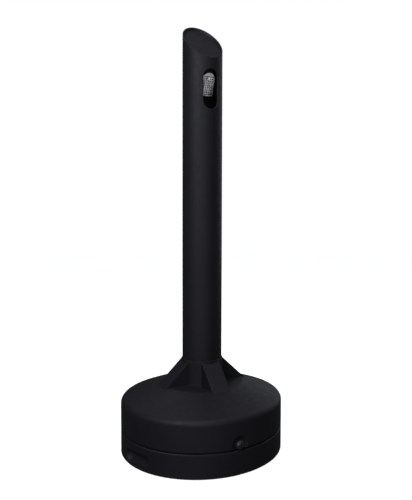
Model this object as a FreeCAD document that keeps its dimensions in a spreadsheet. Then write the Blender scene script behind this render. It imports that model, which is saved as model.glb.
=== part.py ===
"""Smokers' pole: a domed round base with a lift-out pail, and a round pole with a stub plate.

Millimetres, +Z up, the front (opening and latch) faces -Y, origin on the ground under the pole's axis.
"""

import FreeCAD, Part
import math
import os

import Sketcher

doc = FreeCAD.newDocument("smokers_pole")
sheet = doc.addObject("Spreadsheet::Sheet", "Sizes")

SIZES = {
    # overall
    "base_radius": 180.0,
    "overall_height": 950.0,
    "pole_radius": 44.0,
    "pole_wall": 4.0,
    "slant_angle": 43.0,
    "overcut": 1.0,
    # lower shell
    "foot_lift": 2.0,
    "floor_thickness": 4.0,
    "lower_wall": 5.0,
    "lower_top": 54.0,
    "lower_edge_round": 2.0,
    "bottom_round": 3.0,
    "upstand_rise": 18.0,
    "upstand_wall": 4.7,
    "upstand_root": 10.0,
    "upstand_gap": 1.3,
    "finger_radius": 15.0,
    "finger_length": 54.0,
    "finger_depth": 14.0,
    "finger_height": 22.5,
    "finger_wall": 4.0,
    "finger_turn": 15.0,
    "anchor_circle_radius": 50.0,
    "anchor_hole_radius": 5.5,
    "anchor_boss_radius": 12.0,
    "anchor_boss_rise": 4.0,
    "anchor_count": 4,
    # feet
    "foot_radius": 14.0,
    "foot_socket_depth": 1.5,
    "foot_circle_radius": 150.0,
    "foot_count": 6,
    # ballast
    "ballast_inner": 75.0,
    "ballast_outer": 145.0,
    "ballast_thickness": 16.0,
    "ballast_bolt_circle": 110.0,
    "post_radius": 8.0,
    "counterbore_radius": 13.0,
    "counterbore_depth": 7.0,
    "washer_thickness": 1.5,
    "washer_gap": 1.0,
    "ballast_screw_radius": 3.0,
    "ballast_screw_length": 9.0,
    # pail
    "pail_radius": 147.0,
    "pail_depth": 80.0,
    "pail_sheet": 1.0,
    "pail_lip": 4.0,
    "pail_bead": 4.0,
    "bead_round": 1.6,
    "pail_foot_round": 2.0,
    "pivot_drop": 10.0,
    "stud_radius": 3.0,
    "stud_head_radius": 5.5,
    "stud_head_thickness": 2.0,
    "stud_gap": 1.5,
    "stud_count": 2,
    "bail_gap": 1.0,
    "bail_thickness": 2.5,
    "bail_width": 12.0,
    # dome
    "seam_gap": 3.0,
    "dome_wall": 4.0,
    "dome_corner": 120.0,
    "dome_slope": 20.5,
    "dome_edge_round": 13.0,
    "dome_lip_round": 1.5,
    "dome_corner_cover": 6.0,
    "shoulder_radius": 92.0,
    "yard_height": 152.0,
    "collar_wall": 2.0,
    "collar_top": 206.0,
    "collar_round": 0.8,
    "buttress_width": 42.0,
    "buttress_drop": 6.0,
    "buttress_reach": 98.0,
    "buttress_web": 14.0,
    "buttress_cover": 6.0,
    "buttress_count": 4,
    "ledge_width": 8.0,
    "ledge_thickness": 3.5,
    "seal_thickness": 1.5,
    "seal_margin": 0.5,
    "fit_gap": 0.3,
    "bond_gap": 0.05,
    # pole foot
    "socket_wall": 5.7,
    "flange_gap": 4.0,
    "flange_thickness": 4.0,
    "flange_rim": 16.0,
    "flange_screw_offset": 22.0,
    "flange_screw_radius": 3.0,
    "flange_screw_length": 14.0,
    "insert_radius": 4.0,
    "insert_length": 12.0,
    "standoff_radius": 8.0,
    "screw_head_radius": 5.5,
    "screw_head_height": 3.6,
    "thread_clearance": 0.05,
    # opening
    "slot_bottom": 758.0,
    "slot_top": 843.0,
    "slot_half_width": 16.5,
    "slot_round": 1.3,
    "rim_round": 1.7,
    # top cap
    "cap_recess": 4.5,
    "cap_thickness": 3.0,
    "cap_skirt_depth": 9.0,
    "cap_skirt_wall": 3.0,
    "cap_pad_thickness": 7.0,
    "cap_pad_width": 22.0,
    "cap_pad_start": -26.0,
    "cap_pad_end": 4.0,
    "bracket_screw_length": 4.5,
    # stub plate
    "stub_angle": 20.0,
    "stub_length": 50.0,
    "stub_width": 29.0,
    "stub_sheet": 1.2,
    "stub_lip": 5.0,
    "stub_set_back": 4.5,
    "stub_top_drop": 7.5,
    "hole_radius": 1.5,
    "hole_pitch": 4.8,
    "hole_columns": 5,
    "hole_rows": 9,
    "hole_end_margin": 3.0,
    "bracket_sheet": 2.0,
    "bracket_width": 18.0,
    "rivet_along": 12.0,
    "leg_start": 4.8,
    "leg_end": 24.0,
    "rivet_radius": 2.0,
    "rivet_head_radius": 3.6,
    "rivet_head_height": 1.4,
    # latch
    "latch_rise": 8.0,
    "knob_radius": 9.5,
    "knob_height": 7.2,
    "knob_dome": 3.4,
    "knob_crown": 5.2,
    "knob_round": 1.6,
    "knob_slot": 1.2,
    "knob_slot_depth": 1.0,
    "knob_slot_length": 11.0,
    "knob_gap": 1.5,
    "scoop_flare": 9.0,
    "spindle_radius": 3.0,
    "spindle_square": 2.1,
    "running_gap": 0.05,
    "bushing_radius": 5.75,
    "bushing_flange_radius": 8.0,
    "bushing_flange": 1.2,
    "bushing_length": 15.0,
    "boss_half_width": 14.0,
    "boss_depth": 4.0,
    "boss_stand": 1.0,
    "boss_gap": 1.0,
    "boss_headroom": 15.0,
    "nut_across_flats": 16.0,
    "nut_thickness": 3.0,
    "cam_length": 28.0,
    "cam_width": 7.0,
    "cam_hub_radius": 5.25,
    "cam_thickness": 2.3,
    "cam_screw_radius": 4.0,
    "cam_screw_head": 2.4,
    "cam_screw_shank": 1.5,
    "cam_screw_length": 6.3,
    # keeper
    "keeper_start": 17.0,
    "keeper_width": 18.0,
    "keeper_sheet": 2.0,
    "keeper_reach": 9.5,
    "keeper_height": 27.0,
    "keeper_gap": 1.5,
    "keeper_pad": 1.0,
    "keeper_margin": 0.5,
    "keeper_screw_radius": 1.75,
    "keeper_screw_head": 3.2,
    "keeper_screw_height": 1.6,
    "keeper_screw_length": 5.0,
    "keeper_screw_low": 5.0,
    "keeper_screw_pitch": 9.0,
}


class Size:
    """A number that also knows the spreadsheet expression it comes from."""

    def __init__(self, value, text):
        self.value = value
        self.text = text

    @staticmethod
    def of(other):
        return other if isinstance(other, Size) else Size(float(other), repr(float(other)))

    def joined(self, other, sign, value):
        return Size(value, f"({self.text} {sign} {Size.of(other).text})")

    def __add__(self, other):
        return self.joined(other, "+", self.value + Size.of(other).value)

    def __radd__(self, other):
        return Size.of(other) + self

    def __sub__(self, other):
        return self.joined(other, "-", self.value - Size.of(other).value)

    def __rsub__(self, other):
        return Size.of(other) - self

    def __mul__(self, other):
        return self.joined(other, "*", self.value * Size.of(other).value)

    def __rmul__(self, other):
        return Size.of(other) * self

    def __truediv__(self, other):
        return self.joined(other, "/", self.value / Size.of(other).value)

    def __neg__(self):
        return Size(-self.value, f"(-1 * {self.text})")


for row, (alias, number) in enumerate(SIZES.items(), start=1):
    sheet.set(f"A{row}", alias)
    sheet.set(f"B{row}", str(number))
    sheet.setAlias(f"B{row}", alias)
doc.recompute()


def size(alias):
    return Size(float(SIZES[alias]), f"Sizes.{alias}")


def sin_of(angle):
    return Size(math.sin(math.radians(angle.value)), f"sin({angle.text} * 1 deg)")


def cos_of(angle):
    return Size(math.cos(math.radians(angle.value)), f"cos({angle.text} * 1 deg)")


def tan_of(angle):
    return Size(math.tan(math.radians(angle.value)), f"tan({angle.text} * 1 deg)")


def root_of(square):
    return Size(math.sqrt(square.value), f"sqrt({square.text})")


def bind(obj, prop, amount):
    obj.setExpression(prop, Size.of(amount).text)


# ---------------------------------------------------------------- drawing helpers

TOP_AXIS = "Z_Axis"
BEYOND = 20.0
NEAR = 0.01


def origin_item(body, role):
    return next(item for item in body.Origin.OriginFeatures if item.Role == role)


def new_body(label):
    body = doc.addObject("PartDesign::Body", label)
    body.Label = label
    body.AllowCompound = True
    return body


def new_sketch(body, role, lift=None, across=None, tilt=None):
    """A sketch on an origin plane, lifted off it, moved along its first axis, or tilted about that axis."""
    sketch = body.newObject("Sketcher::SketchObject", f"{body.Name}_sketch")
    sketch.AttachmentSupport = [(origin_item(body, role), "")]
    sketch.MapMode = "FlatFace"
    if tilt is not None:
        sketch.AttachmentOffset = FreeCAD.Placement(
            FreeCAD.Vector(), FreeCAD.Rotation(FreeCAD.Vector(1, 0, 0), tilt.value)
        )
        bind(sketch, "AttachmentOffset.Rotation.Angle", tilt)
    if lift is not None:
        bind(sketch, "AttachmentOffset.Base.z", lift)
    if across is not None:
        bind(sketch, "AttachmentOffset.Base.x", across)
    return sketch


def hold(sketch, geometry, point, x, y):
    """Fixes one point of a sketch by its two distances from the origin."""
    for kind, axis, amount in (("DistanceX", -2, Size.of(x)), ("DistanceY", -1, Size.of(y))):
        if amount.text == "0.0":
            sketch.addConstraint(Sketcher.Constraint("PointOnObject", geometry, point, axis))
            continue
        index = sketch.addConstraint(
            Sketcher.Constraint(kind, -1, 1, geometry, point, amount.value)
        )
        sketch.setExpression(f"Constraints[{index}]", amount.text)


def polygon(sketch, points):
    first = sketch.GeometryCount
    spots = [FreeCAD.Vector(Size.of(x).value, Size.of(y).value, 0) for x, y in points]
    count = len(spots)
    for i in range(count):
        sketch.addGeometry(Part.LineSegment(spots[i], spots[(i + 1) % count]), False)
    for i in range(count):
        following = first + (i + 1) % count
        sketch.addConstraint(Sketcher.Constraint("Coincident", first + i, 2, following, 1))
    for i, (x, y) in enumerate(points):
        hold(sketch, first + i, 1, x, y)


def circle(sketch, x, y, radius):
    x, y, radius = Size.of(x), Size.of(y), Size.of(radius)
    centre = FreeCAD.Vector(x.value, y.value, 0)
    shape = Part.Circle(centre, FreeCAD.Vector(0, 0, 1), radius.value)
    geometry = sketch.addGeometry(shape, False)
    hold(sketch, geometry, 3, x, y)
    index = sketch.addConstraint(Sketcher.Constraint("Radius", geometry, radius.value))
    sketch.setExpression(f"Constraints[{index}]", radius.text)


def capsule(sketch, low, high, half_width):
    """An upright slot on the sketch's second axis, from low to high, with round ends."""
    bottom, top, reach = (low + half_width).value, (high - half_width).value, half_width.value
    up = FreeCAD.Vector(0, 0, 1)
    upper = Part.Circle(FreeCAD.Vector(0, top, 0), up, reach)
    lower = Part.Circle(FreeCAD.Vector(0, bottom, 0), up, reach)
    arc_top = sketch.addGeometry(Part.ArcOfCircle(upper, 0, math.pi), False)
    arc_low = sketch.addGeometry(Part.ArcOfCircle(lower, math.pi, 2 * math.pi), False)
    left = sketch.addGeometry(
        Part.LineSegment(FreeCAD.Vector(-reach, top, 0), FreeCAD.Vector(-reach, bottom, 0)), False
    )
    right = sketch.addGeometry(
        Part.LineSegment(FreeCAD.Vector(reach, bottom, 0), FreeCAD.Vector(reach, top, 0)), False
    )
    for one, one_end, two, two_end in (
        (arc_top, 2, left, 1),
        (left, 2, arc_low, 1),
        (arc_low, 2, right, 1),
        (right, 2, arc_top, 1),
    ):
        sketch.addConstraint(Sketcher.Constraint("Tangent", one, one_end, two, two_end))
    hold(sketch, arc_top, 3, 0, high - half_width)
    hold(sketch, arc_low, 3, 0, low + half_width)
    index = sketch.addConstraint(Sketcher.Constraint("Radius", arc_top, reach))
    sketch.setExpression(f"Constraints[{index}]", half_width.text)


def finish_feature(body, feature):
    doc.recompute()
    if "Invalid" in feature.State or "Error" in feature.State:
        raise ValueError(f"{body.Label}: {feature.Name} failed")
    return feature


def turned(body, outline, cut=False, across=None):
    """Turns an outline of (radius, height) points about the upright axis, adding or cutting."""
    sketch = new_sketch(body, "XZ_Plane", across=across)
    polygon(sketch, outline)
    kind = "PartDesign::Groove" if cut else "PartDesign::Revolution"
    feature = body.newObject(kind, f"{body.Name}_turned")
    feature.Profile = sketch
    feature.ReferenceAxis = (sketch, ["V_Axis"])
    feature.Angle = 360
    return finish_feature(body, feature)


def extruded(body, role, draw, length, start=None, cut=False, symmetric=False, tilt=None):
    """Extrudes what draw puts on the sketch along the plane's normal, adding or cutting."""
    sketch = new_sketch(body, role, lift=start, tilt=tilt)
    draw(sketch)
    kind = "PartDesign::Pocket" if cut else "PartDesign::Pad"
    feature = body.newObject(kind, f"{body.Name}_extruded")
    feature.Profile = sketch
    if symmetric:
        feature.SideType = "Symmetric"
    else:
        feature.Reversed = cut
    bind(feature, "Length", length)
    return finish_feature(body, feature)


def around(body, features, count):
    """Repeats features evenly around the upright axis."""
    pattern = body.newObject("PartDesign::PolarPattern", f"{body.Name}_pattern")
    pattern.Originals = features
    pattern.Axis = (origin_item(body, TOP_AXIS), [""])
    pattern.Angle = 360
    bind(pattern, "Occurrences", count)
    body.Tip = pattern
    return finish_feature(body, pattern)


def box_outline(x_low, x_high, z_low, z_high):
    return [(x_low, z_low), (x_high, z_low), (x_high, z_high), (x_low, z_high)]


def edge_names(shape, wanted):
    return [f"Edge{i}" for i, edge in enumerate(shape.Edges, start=1) if wanted(edge)]


def rounded(body, wanted, radius):
    """Rounds the edges for which wanted(edge) is true."""
    base = body.Tip
    names = edge_names(base.Shape, wanted)
    if not names:
        raise ValueError(f"{body.Label}: no edge to round")
    feature = body.newObject("PartDesign::Fillet", f"{body.Name}_rounded")
    feature.Base = (base, names)
    bind(feature, "Radius", radius)
    return finish_feature(body, feature)


def ring_edge(radius, height):
    """Picks full or partial circles of one radius about the upright axis at one height."""

    def wanted(edge):
        curve = edge.Curve
        if not isinstance(curve, Part.Circle):
            return False
        off_axis = math.hypot(curve.Center.x, curve.Center.y)
        return (
            abs(curve.Radius - radius.value) < NEAR
            and off_axis < NEAR
            and abs(curve.Center.z - height.value) < NEAR
        )

    return wanted


def place(body, x=None, y=None, z=None, tilt=None):
    """Sets a body's Placement: a tilt about +X, then a move."""
    if tilt is not None:
        body.Placement = FreeCAD.Placement(
            FreeCAD.Vector(), FreeCAD.Rotation(FreeCAD.Vector(1, 0, 0), tilt.value)
        )
        bind(body, "Placement.Rotation.Angle", tilt)
    for letter, amount in (("x", x), ("y", y), ("z", z)):
        if amount is not None:
            bind(body, f"Placement.Base.{letter}", amount)


# ---------------------------------------------------------------- shared levels

OVERCUT = size("overcut")
BASE = size("base_radius")
FLOOR_LOW = size("foot_lift")
FLOOR_TOP = FLOOR_LOW + size("floor_thickness")
LOWER_TOP = size("lower_top")
UPSTAND_TOP = LOWER_TOP + size("upstand_rise")
SEAM_TOP = LOWER_TOP + size("seam_gap")
DOME_INNER = BASE - size("dome_wall")
UPSTAND_OUTER = DOME_INNER - size("upstand_gap")
UPSTAND_INNER = UPSTAND_OUTER - size("upstand_wall")
LEDGE_LOW = UPSTAND_TOP + size("seal_thickness")
LEDGE_TOP = LEDGE_LOW + size("ledge_thickness")
BALLAST_TOP = FLOOR_TOP + size("ballast_thickness")
POLE = size("pole_radius")
POLE_BORE = POLE - size("pole_wall")
SOCKET_BORE = POLE + size("bond_gap")
COLLAR = POLE + size("collar_wall")
SCREW_CIRCLE = POLE + size("flange_screw_offset")
FLANGE_RADIUS = SCREW_CIRCLE + size("flange_rim")
YARD = size("yard_height")
YARD_UNDER = YARD - size("dome_wall")
FLANGE_TOP = YARD_UNDER - size("flange_gap")
FLANGE_LOW = FLANGE_TOP - size("flange_thickness")
SHOULDER_TOP = size("dome_corner") + (BASE - size("shoulder_radius")) * tan_of(size("dome_slope"))
LATCH = SEAM_TOP + size("latch_rise")
CAM_TOP = LATCH + size("cam_width") * 0.5
SEAT = BASE - size("boss_depth")
BOSS_FACE = UPSTAND_INNER - size("boss_stand")
KEEPER_END = size("keeper_start") + size("keeper_width")
KEEPER_MIDDLE = size("keeper_start") + size("keeper_width") * 0.5
KEEPER_LOW = UPSTAND_TOP - size("keeper_height")
PAD_FACE = root_of(UPSTAND_INNER * UPSTAND_INNER - KEEPER_END * KEEPER_END) - size("keeper_pad")
KEEPER_SCREW = KEEPER_LOW + size("keeper_screw_low")
KEEPER_SCREW_HEIGHTS = (KEEPER_SCREW, KEEPER_SCREW + size("keeper_screw_pitch"))


# ---------------------------------------------------------------- lower shell and what is fixed to it


def finger_wells(label, radius):
    """Two lying capsules, left and right and turned a little to the front, for the finger wells."""
    wells = []
    centre = BASE - size("finger_depth") + size("finger_radius")
    for side in (-1, 1):
        rod = doc.addObject("Part::Cylinder", f"{label}_rod")
        bind(rod, "Radius", radius)
        bind(rod, "Height", size("finger_length"))
        rod.Placement = FreeCAD.Placement(
            FreeCAD.Vector(), FreeCAD.Rotation(FreeCAD.Vector(1, 0, 0), -90)
        )
        bind(rod, "Placement.Base.x", centre * side)
        bind(rod, "Placement.Base.y", size("finger_length") * -0.5)
        bind(rod, "Placement.Base.z", size("finger_height"))
        well = [rod]
        for end in (-1, 1):
            ball = doc.addObject("Part::Sphere", f"{label}_ball")
            bind(ball, "Radius", radius)
            bind(ball, "Placement.Base.x", centre * side)
            bind(ball, "Placement.Base.y", size("finger_length") * (0.5 * end))
            bind(ball, "Placement.Base.z", size("finger_height"))
            well.append(ball)
        capsule_of_side = doc.addObject("Part::MultiFuse", f"{label}_side")
        capsule_of_side.Shapes = well
        turn = size("finger_turn") * -side
        capsule_of_side.Placement = FreeCAD.Placement(
            FreeCAD.Vector(), FreeCAD.Rotation(FreeCAD.Vector(0, 0, 1), turn.value)
        )
        bind(capsule_of_side, "Placement.Rotation.Angle", turn)
        wells.append(capsule_of_side)
    pair = doc.addObject("Part::MultiFuse", label)
    pair.Shapes = wells
    return pair


def cut_scoop(body):
    """Cuts the round seat of the latch knob, with its flared mouth, into the front wall."""
    seat = BASE - size("boss_depth")
    reach = size("knob_radius") + size("knob_gap")
    mouth = reach + size("scoop_flare") * (size("boss_depth") + OVERCUT) / size("boss_depth")
    sketch = new_sketch(body, "YZ_Plane")
    polygon(
        sketch,
        [
            (-seat, LATCH),
            (-seat, LATCH + reach),
            (-BASE - OVERCUT, LATCH + mouth),
            (-BASE - OVERCUT, LATCH),
        ],
    )
    groove = body.newObject("PartDesign::Groove", f"{body.Name}_scoop")
    groove.Profile = sketch
    groove.ReferenceAxis = (sketch, ["Edge4"])
    groove.Angle = 360
    return finish_feature(body, groove)


def make_lower_tray():
    """The shell of the base without its finger wells."""
    body = new_body("lower_tray")
    wall_inner = BASE - size("lower_wall")
    root = LOWER_TOP - size("upstand_root")
    slope_end = root - (wall_inner - UPSTAND_INNER)
    turned(
        body,
        [
            (0, FLOOR_LOW),
            (BASE, FLOOR_LOW),
            (BASE, LOWER_TOP),
            (UPSTAND_OUTER, LOWER_TOP),
            (UPSTAND_OUTER, UPSTAND_TOP),
            (UPSTAND_INNER, UPSTAND_TOP),
            (UPSTAND_INNER, root),
            (wall_inner, slope_end),
            (wall_inner, FLOOR_TOP),
            (0, FLOOR_TOP),
        ],
    )
    rounded(body, ring_edge(BASE, LOWER_TOP), size("lower_edge_round"))
    rounded(body, ring_edge(BASE, FLOOR_LOW), size("bottom_round"))
    post = extruded(
        body,
        "XY_Plane",
        lambda sketch: circle(sketch, size("ballast_bolt_circle"), 0, size("post_radius")),
        BALLAST_TOP - size("counterbore_depth") - FLOOR_LOW,
        start=FLOOR_LOW,
    )
    boss = extruded(
        body,
        "XY_Plane",
        lambda sketch: circle(sketch, size("anchor_circle_radius"), 0, size("anchor_boss_radius")),
        size("anchor_boss_rise") + size("floor_thickness"),
        start=FLOOR_LOW,
    )
    around(body, [post, boss], size("anchor_count"))
    pilot = extruded(
        body,
        "XY_Plane",
        lambda sketch: circle(
            sketch,
            size("ballast_bolt_circle"),
            0,
            size("ballast_screw_radius") + size("thread_clearance"),
        ),
        BEYOND + size("ballast_thickness"),
        start=FLOOR_TOP,
        cut=True,
    )
    anchor = extruded(
        body,
        "XY_Plane",
        lambda sketch: circle(sketch, size("anchor_circle_radius"), 0, size("anchor_hole_radius")),
        BEYOND + size("anchor_boss_rise"),
        start=FLOOR_LOW - OVERCUT,
        cut=True,
    )
    around(body, [pilot, anchor], size("anchor_count"))
    socket = extruded(
        body,
        "XY_Plane",
        lambda sketch: circle(
            sketch, size("foot_circle_radius"), 0, size("foot_radius") + size("fit_gap")
        ),
        size("foot_socket_depth") + OVERCUT,
        start=FLOOR_LOW - OVERCUT,
        cut=True,
    )
    around(body, [socket], size("foot_count"))
    # flat pad behind the keeper with its pilot holes, and the gap in the upstand for the latch boss
    extruded(
        body,
        "XZ_Plane",
        lambda sketch: polygon(
            sketch,
            box_outline(
                size("keeper_start") - size("keeper_margin"),
                KEEPER_END + size("keeper_margin"),
                KEEPER_LOW,
                UPSTAND_TOP,
            ),
        ),
        UPSTAND_INNER - PAD_FACE + OVERCUT,
        start=PAD_FACE,
    )
    for height in KEEPER_SCREW_HEIGHTS:
        extruded(
            body,
            "XZ_Plane",
            lambda sketch: circle(
                sketch,
                KEEPER_MIDDLE,
                height,
                size("keeper_screw_radius") + size("thread_clearance"),
            ),
            size("keeper_screw_length") + OVERCUT,
            start=PAD_FACE - OVERCUT,
            cut=True,
        )
    gap = size("boss_half_width") + size("boss_gap")
    extruded(
        body,
        "XZ_Plane",
        lambda sketch: polygon(sketch, box_outline(-gap, gap, LOWER_TOP, UPSTAND_TOP + OVERCUT)),
        BEYOND + size("boss_depth"),
        start=UPSTAND_INNER - size("boss_depth"),
        cut=True,
    )
    return body


def make_lower_shell():
    tray = make_lower_tray()
    inner_body = finger_wells("well_walls", size("finger_radius") + size("finger_wall"))
    envelope = doc.addObject("Part::Cylinder", "well_limit")
    bind(envelope, "Radius", BASE - 0.5 * size("lower_wall"))
    bind(envelope, "Height", LOWER_TOP - size("upstand_root"))
    bind(envelope, "Placement.Base.z", FLOOR_LOW)
    limited = doc.addObject("Part::Common", "well_walls_inside")
    limited.Base = inner_body
    limited.Tool = envelope
    joined = doc.addObject("Part::Fuse", "tray_with_wells")
    joined.Base = tray
    joined.Tool = limited
    shell = doc.addObject("Part::Cut", "lower_shell")
    shell.Base = joined
    shell.Tool = finger_wells("wells", size("finger_radius"))
    return shell


def make_rubber_feet():
    body = new_body("rubber_feet")
    top = FLOOR_LOW + size("foot_socket_depth")
    outline = [(0, 0), (size("foot_radius"), 0), (size("foot_radius"), top), (0, top)]
    foot = turned(body, outline, across=size("foot_circle_radius"))
    around(body, [foot], size("foot_count"))
    return body


def make_ballast_ring():
    body = new_body("ballast_ring")
    turned(
        body,
        [
            (size("ballast_inner"), FLOOR_TOP),
            (size("ballast_outer"), FLOOR_TOP),
            (size("ballast_outer"), BALLAST_TOP),
            (size("ballast_inner"), BALLAST_TOP),
        ],
    )
    post_hole = extruded(
        body,
        "XY_Plane",
        lambda sketch: circle(
            sketch, size("ballast_bolt_circle"), 0, size("post_radius") + size("fit_gap")
        ),
        size("ballast_thickness") + OVERCUT * 2,
        start=FLOOR_TOP - OVERCUT,
        cut=True,
    )
    counterbore = extruded(
        body,
        "XY_Plane",
        lambda sketch: circle(sketch, size("ballast_bolt_circle"), 0, size("counterbore_radius")),
        size("counterbore_depth") + OVERCUT,
        start=BALLAST_TOP - size("counterbore_depth"),
        cut=True,
    )
    around(body, [post_hole, counterbore], size("anchor_count"))
    return body


def make_ballast_washers():
    body = new_body("ballast_washers")
    low = BALLAST_TOP - size("counterbore_depth")
    bore = size("ballast_screw_radius") + size("fit_gap")
    outer = size("counterbore_radius") - size("washer_gap")
    top = low + size("washer_thickness")
    washer = turned(
        body, [(bore, low), (outer, low), (outer, top), (bore, top)], across=size("ballast_bolt_circle")
    )
    around(body, [washer], size("anchor_count"))
    return body


def screw_outline(seat, head_radius, head_height, shank_radius, shank_length, upward=1):
    """Half outline of a flat-headed screw: the head stands on the seat, the shank goes the other way."""
    return [
        (0, seat - shank_length * upward),
        (shank_radius, seat - shank_length * upward),
        (shank_radius, seat),
        (head_radius, seat),
        (head_radius, seat + head_height * upward),
        (0, seat + head_height * upward),
    ]


def make_ballast_screws():
    body = new_body("ballast_screws")
    seat = BALLAST_TOP - size("counterbore_depth") + size("washer_thickness")
    outline = screw_outline(
        seat,
        size("screw_head_radius"),
        size("screw_head_height"),
        size("ballast_screw_radius"),
        size("ballast_screw_length"),
    )
    screw = turned(body, outline, across=size("ballast_bolt_circle"))
    around(body, [screw], size("anchor_count"))
    return body


def make_rim_seal():
    body = new_body("rim_seal")
    inner = UPSTAND_INNER + size("seal_margin")
    outer = UPSTAND_OUTER - size("seal_margin")
    turned(body, [(inner, UPSTAND_TOP), (outer, UPSTAND_TOP), (outer, LEDGE_LOW), (inner, LEDGE_LOW)])
    gap = size("boss_half_width") + size("boss_gap")
    extruded(
        body,
        "XZ_Plane",
        lambda sketch: polygon(
            sketch,
            [
                (-gap, UPSTAND_TOP - OVERCUT),
                (gap, UPSTAND_TOP - OVERCUT),
                (gap, LEDGE_LOW + OVERCUT),
                (-gap, LEDGE_LOW + OVERCUT),
            ],
        ),
        BEYOND,
        start=UPSTAND_INNER - size("upstand_wall"),
        cut=True,
    )
    return body


def make_latch_keeper():
    """An angle: a leg screwed to the pad, and a shelf over the place where the cam's tip swings in."""
    body = new_body("latch_keeper")
    start = size("keeper_start")
    shelf_low = CAM_TOP + size("keeper_gap")
    shelf_top = shelf_low + size("keeper_sheet")
    face = PAD_FACE - size("keeper_sheet")
    extruded(
        body,
        "XZ_Plane",
        lambda sketch: polygon(sketch, box_outline(start, KEEPER_END, KEEPER_LOW + OVERCUT, shelf_top)),
        size("keeper_sheet"),
        start=face,
    )
    extruded(
        body,
        "XZ_Plane",
        lambda sketch: polygon(sketch, box_outline(start, KEEPER_END, shelf_low, shelf_top)),
        size("keeper_reach") + OVERCUT,
        start=face - size("keeper_reach"),
    )
    for height in KEEPER_SCREW_HEIGHTS:
        extruded(
            body,
            "XZ_Plane",
            lambda sketch: circle(
                sketch, KEEPER_MIDDLE, height, size("keeper_screw_radius") + size("fit_gap")
            ),
            size("keeper_sheet") + OVERCUT * 2,
            start=face - OVERCUT,
            cut=True,
        )
    return body


def make_keeper_screws():
    body = new_body("keeper_screws")
    face = PAD_FACE - size("keeper_sheet")
    head = (size("keeper_screw_head"), face - size("keeper_screw_height"), size("keeper_screw_height"))
    shank = (size("keeper_screw_radius"), face, size("keeper_screw_length"))
    for height in KEEPER_SCREW_HEIGHTS:
        for radius, start, length in (head, shank):
            extruded(
                body,
                "XZ_Plane",
                lambda sketch: circle(sketch, KEEPER_MIDDLE, height, radius),
                length,
                start=start,
            )
    return body


# ---------------------------------------------------------------- pail

PAIL = size("pail_radius")
PAIL_RIM = BALLAST_TOP + size("pail_depth")
PIVOT = PAIL_RIM - size("pail_bead") - size("pivot_drop")
BAIL_INNER = PAIL + size("pail_lip") + size("bail_gap")
BAIL_OUTER = BAIL_INNER + size("bail_thickness")
STUD_END = BAIL_OUTER + size("stud_gap") + size("stud_head_thickness")


def make_butt_pail():
    body = new_body("butt_pail")
    inner = PAIL - size("pail_sheet")
    bead_low = PAIL_RIM - size("pail_bead")
    turned(
        body,
        [
            (0, BALLAST_TOP),
            (PAIL, BALLAST_TOP),
            (PAIL, bead_low),
            (PAIL + size("pail_lip"), bead_low),
            (PAIL + size("pail_lip"), PAIL_RIM),
            (inner, PAIL_RIM),
            (inner, BALLAST_TOP + size("pail_sheet")),
            (0, BALLAST_TOP + size("pail_sheet")),
        ],
    )
    lip = PAIL + size("pail_lip")

    def bead(edge):
        return ring_edge(lip, PAIL_RIM)(edge) or ring_edge(lip, bead_low)(edge)

    rounded(body, bead, size("bead_round"))
    rounded(body, ring_edge(PAIL, BALLAST_TOP), size("pail_foot_round"))
    return body


def make_pivot_studs():
    """Shouldered studs on the left and right of the pail; each foot plate follows the pail's wall."""
    body = new_body("pivot_studs")
    for radius, start, end in (
        (
            size("stud_head_radius") + size("stud_gap"),
            PAIL - 0.5 * size("pail_sheet"),
            PAIL + size("stud_gap"),
        ),
        (size("stud_radius"), PAIL, STUD_END),
        (size("stud_head_radius"), STUD_END - size("stud_head_thickness"), STUD_END),
    ):
        arm = extruded(
            body,
            "YZ_Plane",
            lambda sketch: circle(sketch, 0, PIVOT, radius),
            end - start,
            start=start,
        )
        around(body, [arm], size("stud_count"))
    extruded(
        body,
        "XY_Plane",
        lambda sketch: circle(sketch, 0, 0, PAIL),
        size("pail_depth"),
        start=BALLAST_TOP,
        cut=True,
    )
    return body


def make_bail_strap():
    """A flat half hoop round the back of the pail, with an eye over each stud."""
    body = new_body("bail_strap")
    half = size("bail_width") * 0.5
    low, top = PIVOT - half, PIVOT + half
    turned(body, [(BAIL_INNER, low), (BAIL_OUTER, low), (BAIL_OUTER, top), (BAIL_INNER, top)])
    extruded(
        body,
        "XY_Plane",
        lambda sketch: polygon(
            sketch,
            [
                (-BASE, -BASE),
                (BASE, -BASE),
                (BASE, -half),
                (-BASE, -half),
            ],
        ),
        size("bail_width") + OVERCUT * 2,
        start=low - OVERCUT,
        cut=True,
    )

    def end_corner(edge):
        middle = edge.CenterOfMass
        upright_edge = abs(edge.BoundBox.ZLength) < NEAR and abs(edge.BoundBox.YLength) < NEAR
        return upright_edge and abs(middle.y + half.value) < NEAR

    rounded(body, end_corner, half - size("fit_gap"))
    extruded(
        body,
        "YZ_Plane",
        lambda sketch: circle(sketch, 0, PIVOT, size("stud_radius") + size("running_gap")),
        BASE * 2.0,
        cut=True,
        symmetric=True,
    )
    return body


# ---------------------------------------------------------------- dome and pole foot

BUTTRESS_TOP = size("collar_top") - size("buttress_drop")
BUTTRESS_REACH = size("buttress_reach")
BUTTRESS_FOOT = size("dome_corner") + (BASE - BUTTRESS_REACH) * tan_of(size("dome_slope"))
BUTTRESS_FALL = (BUTTRESS_TOP - BUTTRESS_FOOT) / (BUTTRESS_REACH - COLLAR)
SOCKET_OUTER = SOCKET_BORE + size("socket_wall")


def buttress_face(radius):
    """Height of a buttress's sloping face at a distance from the axis."""
    return BUTTRESS_TOP - (radius - COLLAR) * BUTTRESS_FALL


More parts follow.
